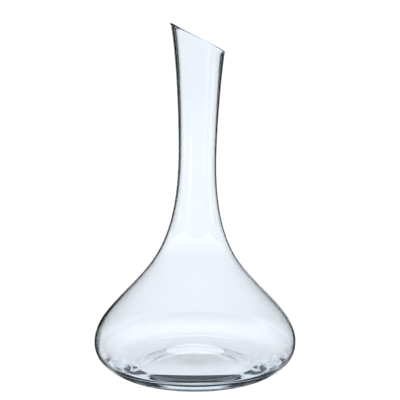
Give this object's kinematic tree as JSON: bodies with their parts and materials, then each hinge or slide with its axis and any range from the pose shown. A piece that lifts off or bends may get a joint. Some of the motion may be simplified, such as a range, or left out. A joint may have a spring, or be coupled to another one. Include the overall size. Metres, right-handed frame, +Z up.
{
  "type": "wine decanter",
  "caption": "Free-standing wine decanter of clear blown glass, with a broad low bowl, a slim leaning neck and a slanted open mouth to pour from.",
  "frame": {"origin": "centre of the foot ring, on the plane the decanter stands on", "axes": "+Z up along the bowl's axis; -X towards the high side of the mouth, over which wine is poured; the neck leans slightly towards +X"},
  "size_m": [0.19, 0.19, 0.3254],
  "materials": {
    "clear_glass": "polished, flame-rounded rim"
  },
  "bodies": {
    "root": {"glass_body": "clear_glass"}
  },
  "joints": []
}
